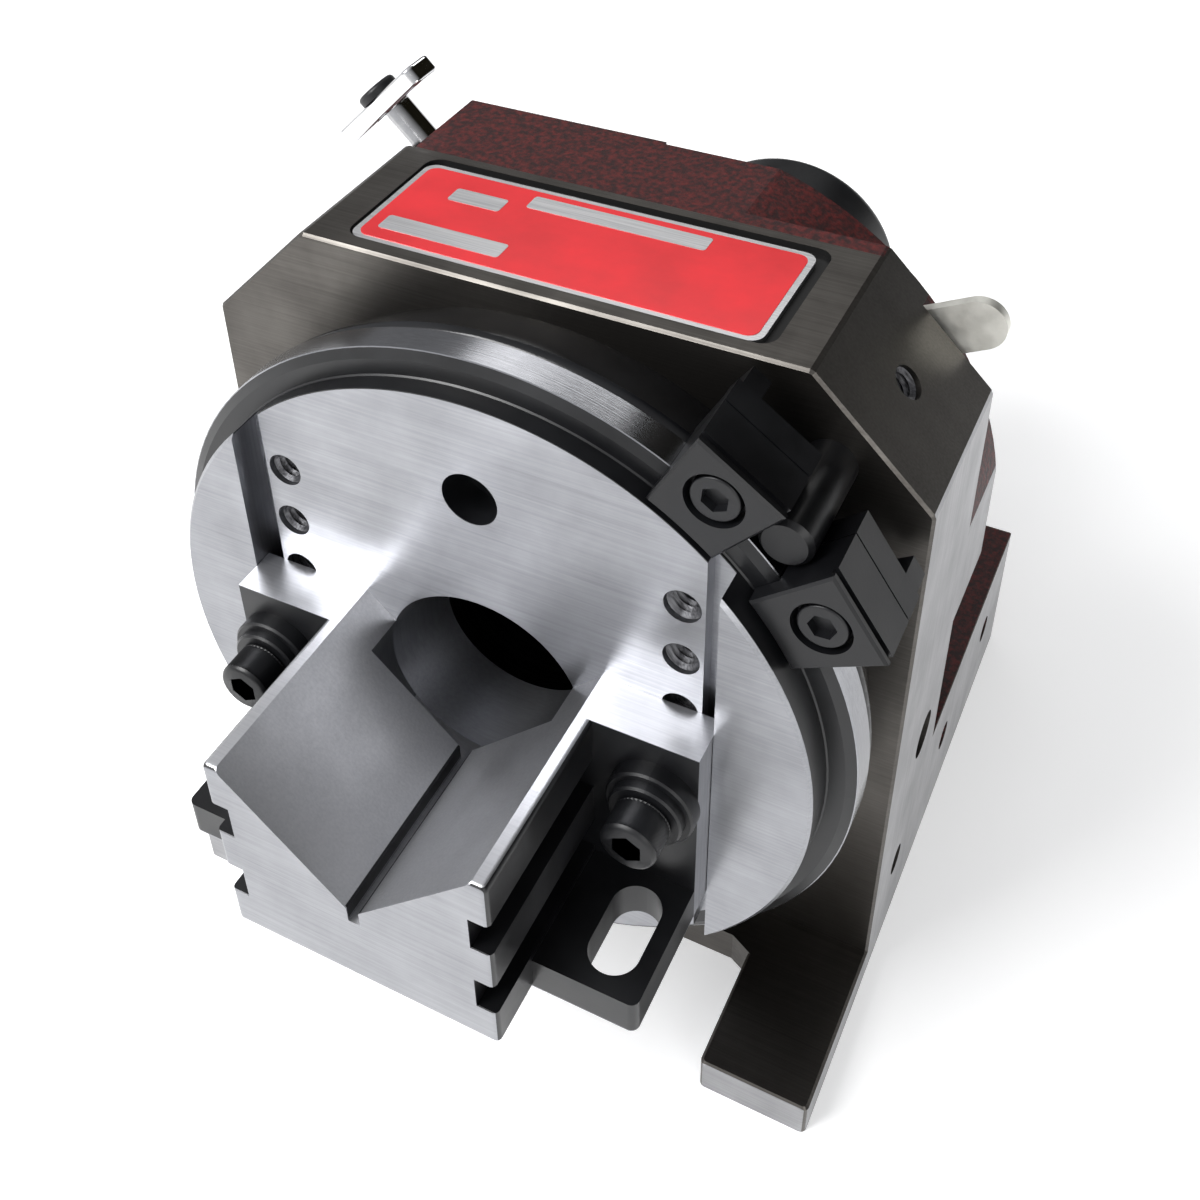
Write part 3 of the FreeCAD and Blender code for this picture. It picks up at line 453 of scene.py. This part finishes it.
def makeVeeFinish():
    # black oxide block, ground bright on the vee, the ends, the top and the outer sides; the vee
    # walls and the top are painted lighter as light
    material, tree = startMaterial("groundSteelBlackFlanks")
    coordinates = addNode(tree, "ShaderNodeTexCoord")
    across, along, rise = placeParts(tree, coordinates)
    lines = grindingMarks(tree, coordinates)
    tone = steelTone(tree, coordinates, lines)
    plainColour, plainRough = steelParts(tree, tone, toolSteel)
    litWallColour, litWallRough = steelParts(tree, tone, litVeeWalls)
    zones = veeZones
    # faces that look upward take the lighter copy of the steel: painted light
    upwardLit = combine(
        tree, "GREATER_THAN", facing(tree, coordinates, 2), zones["upwardFacing"]
    )
    steelColour = mixColours(tree, upwardLit, plainColour, litWallColour)
    steelRough = mixNumbers(tree, upwardLit, plainRough, litWallRough)
    oxideColour, oxideRough = oxideParts(tree, coordinates, oxide["satin"])
    width = combine(tree, "ABSOLUTE", across)
    level = combine(tree, "SUBTRACT", rise, axisHeight)
    drop = combine(tree, "SUBTRACT", level, width)
    slot = allOf(tree, [
        below(tree, width, zones["slotHalfWidth"]),
        below(tree, drop, zones["slotDrop"]),
        above(tree, along, zones["flankAlong"][0]),
        above(tree, level, zones["slotFloor"]),
    ])
    flank = allOf(tree, [
        above(tree, width, zones["flankInside"]),
        within(tree, along, zones["flankAlong"]),
        within(tree, level, zones["flankLevel"]),
        below(tree, drop, zones["flankDrop"]),
    ])
    black = combine(tree, "MAXIMUM", slot, flank)
    finishMaterial(
        tree,
        {},
        {
            "Base Color": mixColours(tree, black, steelColour, oxideColour),
            "Metallic": combine(tree, "SUBTRACT", 1.0, black),
            "Roughness": mixNumbers(tree, black, steelRough, oxideRough),
            "Normal": bumped(tree, lines, grinding["scratchDepth"]),
        },
    )
    return material


def makeTurnedMetal(name, light, dark, low, high):
    # lathe-turned metal: fine rings about the spindle axis
    material, tree = startMaterial(name)
    across, along, rise = placeParts(tree, addNode(tree, "ShaderNodeTexCoord"))
    radius = spindleRadius(tree, across, rise)
    rings = addNode(tree, "ShaderNodeCombineXYZ", links={0: radius, 1: along}).outputs[0]
    wave = 1 / grinding["turningSpacing"]
    marks = scaledNoise(tree, rings, (wave, wave, 1.0), 2.0)
    finishMaterial(
        tree,
        {"Metallic": 1.0},
        {
            "Base Color": mixColours(tree, remap(tree, marks, 0.0, 1.0), dark, light),
            "Roughness": remap(tree, marks, low, high),
            "Normal": bumped(tree, marks, grinding["turningDepth"]),
        },
    )
    return material


def makePlating(name, dark, light, low, high):
    # bright plating with faint wipe marks
    material, tree = startMaterial(name)
    coordinates = addNode(tree, "ShaderNodeTexCoord")
    wipe = evenNoise(tree, coordinates, 3 * mm, 5.0)
    finishMaterial(
        tree,
        {"Metallic": 1.0},
        {
            "Base Color": mixColours(tree, remap(tree, wipe, 0.0, 1.0), dark, light),
            "Roughness": remap(tree, wipe, low, high),
        },
    )
    return material


plateFinish = {
    "bareDark": "cfd0d2",
    "bareLight": "f1f1f2",
    "brushLength": 16.67 * mm,
    "brushSpacing": 0.3333 * mm,
    "redDark": "d01c24",
    "redLight": "e5262e",
    "redPatch": 11.11 * mm,
    "redGrain": 0.4 * mm,
    "redGrainDepth": 0.004 * mm,
}


def makePlateAluminium():
    # satin anodised aluminium: bright, faintly brushed along X
    material, tree = startMaterial("satinAluminium")
    coordinates = addNode(tree, "ShaderNodeTexCoord")
    long = 1 / plateFinish["brushLength"]
    fine = 1 / plateFinish["brushSpacing"]
    brush = scaledNoise(tree, coordinates.outputs["Object"], (long, fine, fine))
    tone = remap(tree, brush, 0.0, 1.0)
    finishMaterial(
        tree,
        {"Metallic": 1.0},
        {
            "Base Color": mixColours(
                tree, tone, plateFinish["bareDark"], plateFinish["bareLight"]
            ),
            "Roughness": remap(tree, brush, 0.28, 0.4),
        },
    )
    return material


def makeRedEnamel():
    # signal red printed enamel: flat, slightly glossy, with rubbed patches
    material, tree = startMaterial("redEnamel")
    coordinates = addNode(tree, "ShaderNodeTexCoord")
    cloud = evenNoise(tree, coordinates, plateFinish["redPatch"], 4.0)
    grain = evenNoise(tree, coordinates, plateFinish["redGrain"], 2.0)
    tone = remap(tree, cloud, 0.0, 1.0)
    finishMaterial(
        tree,
        {"Metallic": 0.0, "Coat Weight": 0.2, "Coat Roughness": 0.15},
        {
            "Base Color": mixColours(
                tree, tone, plateFinish["redDark"], plateFinish["redLight"]
            ),
            "Roughness": remap(tree, cloud, 0.3, 0.42),
            "Normal": bumped(tree, grain, plateFinish["redGrainDepth"]),
        },
    )
    return material


blackOxide = makeBlackOxide("blackOxide", oxide["satin"])
glossyOxide = makeBlackOxide("glossyBlackOxide", oxide["glossy"])
honedSteel = makeTurnedMetal("honedSteel", "9c9da1", "7c7d81", 0.08, 0.16)
turnedSteel = makeTurnedMetal("turnedSteel", "b9babd", "8e8f93", 0.24, 0.4)
turnedBronze = makeTurnedMetal("turnedBronze", "b98f56", "8f6a3a", 0.26, 0.42)
# turned steel darkened as painted shade for the threads inside the tapped holes
shadedThread = makeTurnedMetal("shadedThread", "77777a", "3e3e40", 0.3, 0.45)
chrome = makePlating("polishedChrome", "d8d8da", "ededee", 0.05, 0.14)
satinNickel = makePlating("satinNickel", "ebeae2", "fbfaf3", 0.45, 0.58)
plateAluminium = makePlateAluminium()
redEnamel = makeRedEnamel()

finishes = {
    "housing": makeHousingFinish(),
    "faceplate": makeFaceplateFinish(),
    "vee_block": makeVeeFinish(),
    "name_plate": plateAluminium,
    "spindle": honedSteel,
    "dust_ring": glossyOxide,
    "index_plate": turnedSteel,
    "draw_tube": honedSteel,
    "plunger_bush": turnedSteel,
    "plunger_cap": turnedSteel,
    "plunger_spring": turnedSteel,
    "lever_pin": turnedSteel,
    "collet_key": turnedSteel,
    "front_bush": turnedBronze,
    "rear_bush": turnedBronze,
    "lever_shoe": turnedBronze,
    "plunger_stem": chrome,
    "plunger_bar": chrome,
    "latch_lever": satinNickel,
}
for name, node in nodes.items():
    node.data.materials.clear()
    node.data.materials.append(finishes.get(name, blackOxide))
print("materials on", len(nodes), "nodes")


# Pieces

meshing = {"mergeWithin": 0.002 * mm, "sharpFrom": 32}


def finishPiece(name, bm, material, body):
    bmesh.ops.remove_doubles(bm, verts=bm.verts, dist=meshing["mergeWithin"])
    bmesh.ops.recalc_face_normals(bm, faces=bm.faces)
    mesh = bpy.data.meshes.new(name)
    bm.to_mesh(mesh)
    bm.free()
    mesh.materials.append(material)
    piece = bpy.data.objects.new(name, mesh)
    bpy.context.collection.objects.link(piece)
    for polygon in mesh.polygons:
        polygon.use_smooth = True
    mesh.set_sharp_from_angle(angle=math.radians(meshing["sharpFrom"]))
    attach(piece, body)
    return piece


def edgesOf(verts):
    # each edge once, in the order in which they are met
    return list(dict.fromkeys(edge for vert in verts for edge in vert.link_edges))


def addPlate(bm, xLow, xHigh, yLow, yHigh, bottom, top, radius):
    # flat plate with rounded upright corners
    size = (xHigh - xLow, yHigh - yLow, top - bottom)
    centre = ((xLow + xHigh) / 2, (yLow + yHigh) / 2, (bottom + top) / 2)
    place = Matrix.Translation(centre) @ Matrix.Diagonal((*size, 1))
    verts = bmesh.ops.create_cube(bm, size=1, matrix=place)["verts"]
    upright = [
        edge for edge in edgesOf(verts)
        if abs(edge.verts[0].co.z - edge.verts[1].co.z) > size[2] / 2
    ]
    bmesh.ops.bevel(
        bm, geom=upright, offset=radius, affect="EDGES", segments=8, profile=0.5, material=-1
    )


# left, right, front and back edges, in mm
labels = {
    "red": (-37.3, 35.1, 4.6, 29.5),
    "bottom": 141.4,
    "redTop": 141.5,
    "boxTop": 141.55,
    "corner": 2.0,
    "boxCorner": 0.6,
    "boxes": ((-15.0, 18.6, 23.8, 27.9), (-28.9, -18.6, 20.4, 24.6), (-35.0, -11.5, 7.5, 11.8)),
}


def makeLabels():
    # red field on the name plate with three bare boxes on it
    field = bmesh.new()
    left, right, front, back = [value * mm for value in labels["red"]]
    addPlate(field, left, right, front, back,
             labels["bottom"] * mm, labels["redTop"] * mm, labels["corner"] * mm)
    finishPiece("namePlateField", field, redEnamel, "housing_group")
    boxes = bmesh.new()
    for left, right, front, back in labels["boxes"]:
        addPlate(boxes, left * mm, right * mm, front * mm, back * mm,
                 labels["redTop"] * mm, labels["boxTop"] * mm, labels["boxCorner"] * mm)
    finishPiece("namePlateBoxes", boxes, plateAluminium, "housing_group")


# radius and pitch of each thread and the mouths of its holes on the right, in mm
threads = {
    "faceplate": {
        "radius": 3.15, "pitch": 1.27, "turns": 5,
        "mouths": [(36.2, -24.16, axisHeight / mm + row * 11.3) for row in range(-3, 4)],
    },
    "side": {
        "radius": 3.1, "pitch": 1.27, "turns": 6,
        "mouths": [(66.65, along, 18.6) for along in (14.8, 48.5, 82.2)],
    },
    "lug": {"radius": 4.75, "pitch": 1.6, "turns": 6, "mouths": [(66.65, 22.4, 47.5)]},
    "corner": {"radius": 3.0, "pitch": 1.27, "turns": 6, "mouths": [(56.2, 17.15, 131.15)]},
}


# ridge height and the ends of its profile as shares of the pitch; depth and inset in mm
threadForm = {"ridge": 0.6, "from": 0.02, "to": 0.98, "depth": 0.4, "inset": 0.01, "steps": 20}


def addThreads(bm, kind, side, inward):
    # helical ridges round the walls of the holes, each one triangle swept round
    sizes = threads[kind]
    pitch = sizes["pitch"] * mm
    turns = sizes["turns"]
    inward = Vector(inward).normalized()
    across = inward.orthogonal().normalized()
    steps = threadForm["steps"]
    outer = (sizes["radius"] - threadForm["inset"]) * mm
    profile = [
        (outer, threadForm["from"] * pitch),
        (outer - threadForm["ridge"] * pitch, pitch / 2),
        (outer, threadForm["to"] * pitch),
    ]
    for x, y, z in sizes["mouths"]:
        start = Vector((side * x, y, z)) * mm + inward * threadForm["depth"] * mm
        verts = [bm.verts.new(start + across * reach + inward * along) for reach, along in profile]
        edges = [bm.edges.new((verts[i], verts[(i + 1) % 3])) for i in range(3)]
        bmesh.ops.spin(
            bm, geom=verts + edges, cent=start, axis=inward, dvec=inward * pitch / steps,
            angle=2 * math.pi * turns, steps=steps * turns, use_merge=False,
            use_duplicate=False,
        )
        ends = [edge for edge in bm.edges if edge.is_boundary]
        bmesh.ops.holes_fill(bm, edges=ends, sides=3)


def makeFaceplateThreads():
    bm = bmesh.new()
    for side in (-1, 1):
        addThreads(bm, "faceplate", side, (0, 1, 0))
    finishPiece("faceplateThreads", bm, shadedThread, "spindle_group")


def makeHousingThreads():
    bm = bmesh.new()
    for side in (-1, 1):
        addThreads(bm, "side", side, (-side, 0, 0))
        addThreads(bm, "lug", side, (-side, 0, 0))
        addThreads(bm, "corner", side, (-side, 0, -1))
    finishPiece("housingThreads", bm, shadedThread, "housing_group")


capScrew = {
    "headRadius": 4.765,
    "headHeight": 6.35,
    "noseBreak": 0.75,
    "edgeBreak": 0.25,
    "edgeDrop": 0.3,
    "rearBreak": 0.4,
    "tipBreak": 0.5,
    "socket": 4.76,
    "socketDepth": 3.5,
    "shankRadius": 3.1,
    "columns": 90,
    "knurlRows": 9,
    "knurlFrom": 1.0,
    "knurlTo": 0.6,             # from the rear of the head
    "knurlDepth": 0.22,
    "front": -44.0,
    "end": -15.16,
    "across": 36.2,
}


def capScrewProfile():
    # radius, distance behind the head's front and whether it is knurled, in mm
    head = capScrew["headRadius"]
    height = capScrew["headHeight"]
    shank = capScrew["shankRadius"]
    length = capScrew["end"] - capScrew["front"]
    edge = head - capScrew["edgeBreak"]
    tip = capScrew["tipBreak"]
    knurl = height - capScrew["knurlFrom"] - capScrew["knurlTo"]
    profile = [
        (head - capScrew["noseBreak"], 0.0, False),
        (edge, capScrew["edgeDrop"], False),
        (head, capScrew["noseBreak"], False),
    ]
    for row in range(capScrew["knurlRows"]):
        share = row / (capScrew["knurlRows"] - 1)
        profile.append((head, capScrew["knurlFrom"] + knurl * share, True))
    profile.append((head, height - capScrew["rearBreak"], False))
    profile += [(edge, height, False), (shank, height, False)]
    profile += [(shank, length - tip, False), (shank - tip, length, False)]
    return profile


def onlyVerts(items):
    return [item for item in items if isinstance(item, bmesh.types.BMVert)]


def edgesAmong(items, verts):
    edges = [item for item in items if isinstance(item, bmesh.types.BMEdge)]
    return [edge for edge in edges if all(vert in verts for vert in edge.verts)]


def turnOf(vert, across):
    # angle round the axis of the screw that stands at across
    return math.atan2(vert.co.z - axisHeight, vert.co.x - across)


def makeClampScrews():
    # socket head screws with a diamond knurl round the head
    bm = bmesh.new()
    profile = capScrewProfile()
    for side in (-1, 1):
        centre = Vector((side * capScrew["across"] * mm, capScrew["front"] * mm, axisHeight))
        toY = Matrix.Translation(centre) @ Matrix.Rotation(math.radians(-90), 4, "X")
        ring = bmesh.ops.create_circle(
            bm, segments=capScrew["columns"], radius=profile[0][0] * mm, matrix=toY
        )["verts"]
        firstEdges = edgesOf(ring)
        edges = firstEdges
        for index in range(1, len(profile)):
            radius, along, ridged = profile[index]
            grown = bmesh.ops.extrude_edge_only(bm, edges=edges)["geom"]
            ring = onlyVerts(grown)
            edges = edgesAmong(grown, ring)
            ring.sort(key=lambda vert: turnOf(vert, centre.x))
            for column, vert in enumerate(ring):
                turn = turnOf(vert, centre.x)
                reach = radius
                if ridged and (column + index) % 2:
                    reach -= capScrew["knurlDepth"]
                vert.co.x = centre.x + reach * mm * math.cos(turn)
                vert.co.z = centre.z + reach * mm * math.sin(turn)
                vert.co.y = centre.y + along * mm
        bmesh.ops.holes_fill(bm, edges=edges, sides=0)
        hexagon = bmesh.ops.create_circle(
            bm, segments=6, radius=capScrew["socket"] / math.sqrt(3) * mm, matrix=toY
        )["verts"]
        hexEdges = edgesOf(hexagon)
        bmesh.ops.bridge_loops(bm, edges=firstEdges + hexEdges)
        grown = bmesh.ops.extrude_edge_only(bm, edges=hexEdges)["geom"]
        floor = onlyVerts(grown)
        bmesh.ops.translate(bm, verts=floor, vec=(0, capScrew["socketDepth"] * mm, 0))
        bmesh.ops.holes_fill(bm, edges=edgesAmong(grown, floor), sides=0)
    screws = finishPiece("clampScrews", bm, blackOxide, "spindle_group")
    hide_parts("clamp_screws")


makeLabels()
makeFaceplateThreads()
makeHousingThreads()
makeClampScrews()
print("pieces made")


# Floor, light and camera

studio = {
    "floorSize": 8.0,
    "floorColour": "f4f4f4",
    "floorLift": 0.42,          # lifts the lit floor to white for the camera and reflections
    "horizon": "f4f4f4",
    "lightSide": "d8d9dc",
    "darkSide": "17150f",
    "bandFrom": 0.065,          # sines of the heights between which the pale band fades
    "bandTop": 0.13,
    "lightAxis": (-0.62, -0.62, 0.48),
    "darkAt": -0.15,            # how far towards the light the sky starts and stops changing
    "lightAt": 0.75,
}


def makeFloor():
    bm = bmesh.new()
    bmesh.ops.create_grid(bm, x_segments=1, y_segments=1, size=studio["floorSize"] / 2)
    mesh = bpy.data.meshes.new("floor")
    bm.to_mesh(mesh)
    bm.free()
    floor = bpy.data.objects.new("floor", mesh)
    bpy.context.collection.objects.link(floor)
    material, tree = startMaterial("paperFloor")
    paper = addNode(
        tree, "ShaderNodeBsdfDiffuse", {"Color": hexColour(studio["floorColour"])}
    )
    path = addNode(tree, "ShaderNodeLightPath")
    seen = combine(tree, "MAXIMUM", path.outputs["Is Camera Ray"], path.outputs["Is Glossy Ray"])
    seen = combine(tree, "MAXIMUM", seen, path.outputs["Is Transmission Ray"])
    lift = combine(tree, "MULTIPLY", seen, studio["floorLift"])
    glow = addNode(tree, "ShaderNodeEmission", links={"Strength": lift})
    both = addNode(
        tree, "ShaderNodeAddShader", links={0: paper.outputs[0], 1: glow.outputs[0]}
    )
    addNode(tree, "ShaderNodeOutputMaterial", links={"Surface": both.outputs[0]})
    mesh.materials.append(material)


def makeWorld():
    # pale band at the horizon; above it bright on the key's side and dark opposite
    world = bpy.data.worlds.new("studio")
    world.use_nodes = True
    tree = world.node_tree
    tree.nodes.clear()
    coordinates = addNode(tree, "ShaderNodeTexCoord")
    direction = coordinates.outputs["Generated"]
    height = addNode(tree, "ShaderNodeSeparateXYZ", links={0: direction}).outputs[2]
    towards = addNode(
        tree, "ShaderNodeVectorMath", {1: studio["lightAxis"]}, {0: direction},
        operation="DOT_PRODUCT",
    )
    lit = remap(
        tree, towards.outputs["Value"], 0.0, 1.0, studio["darkAt"], studio["lightAt"]
    )
    overhead = mixColours(tree, lit, studio["darkSide"], studio["lightSide"])
    band = remap(tree, height, 0.0, 1.0, studio["bandFrom"], studio["bandTop"])
    colour = mixColours(tree, band, studio["horizon"], overhead)
    background = addNode(tree, "ShaderNodeBackground", {"Strength": 1.0}, {"Color": colour})
    addNode(tree, "ShaderNodeOutputWorld", links={"Surface": background.outputs[0]})
    bpy.context.scene.world = world


lampTarget = Vector((0, 0, 0.07))
lamps = {
    "key": {"place": (-0.55, -0.65, 0.9), "size": (0.6, 0.6), "power": 14.0},
    "fill": {"place": (0.9, -0.8, 0.55), "size": (0.6, 0.6), "power": 3.5},
    "strip": {"place": (-0.20, 0.96, 1.01), "size": (0.95, 0.2), "power": 1.6},
}


def makeLamps():
    for name, lamp in lamps.items():
        data = bpy.data.lights.new(name, "AREA")
        data.shape = "RECTANGLE"
        data.size, data.size_y = lamp["size"]
        data.energy = lamp["power"]
        light = bpy.data.objects.new(name, data)
        light.location = lamp["place"]
        direction = lampTarget - Vector(lamp["place"])
        light.rotation_euler = direction.to_track_quat("-Z", "Y").to_euler()
        bpy.context.collection.objects.link(light)


# place and nearest in metres, turn in degrees, lens and sensor in mm
view = {
    "place": (0.09655, -0.17020, 0.27398),
    "turn": (54.553, 1.2307, 26.852),
    "lens": 44.82,
    "sensor": 36,
    "shiftX": 0.0187,
    "shiftY": -0.2240,
    "nearest": 0.01,
}


def makeCamera():
    data = bpy.data.cameras.new("camera")
    data.lens = view["lens"]
    data.sensor_width = view["sensor"]
    data.shift_x = view["shiftX"]
    data.shift_y = view["shiftY"]
    data.clip_start = view["nearest"]
    camera = bpy.data.objects.new("camera", data)
    camera.location = view["place"]
    camera.rotation_euler = [math.radians(angle) for angle in view["turn"]]
    bpy.context.collection.objects.link(camera)
    bpy.context.scene.camera = camera


makeFloor()
makeWorld()
makeLamps()
makeCamera()
bpy.context.scene.view_settings.view_transform = "Standard"
print("studio set")
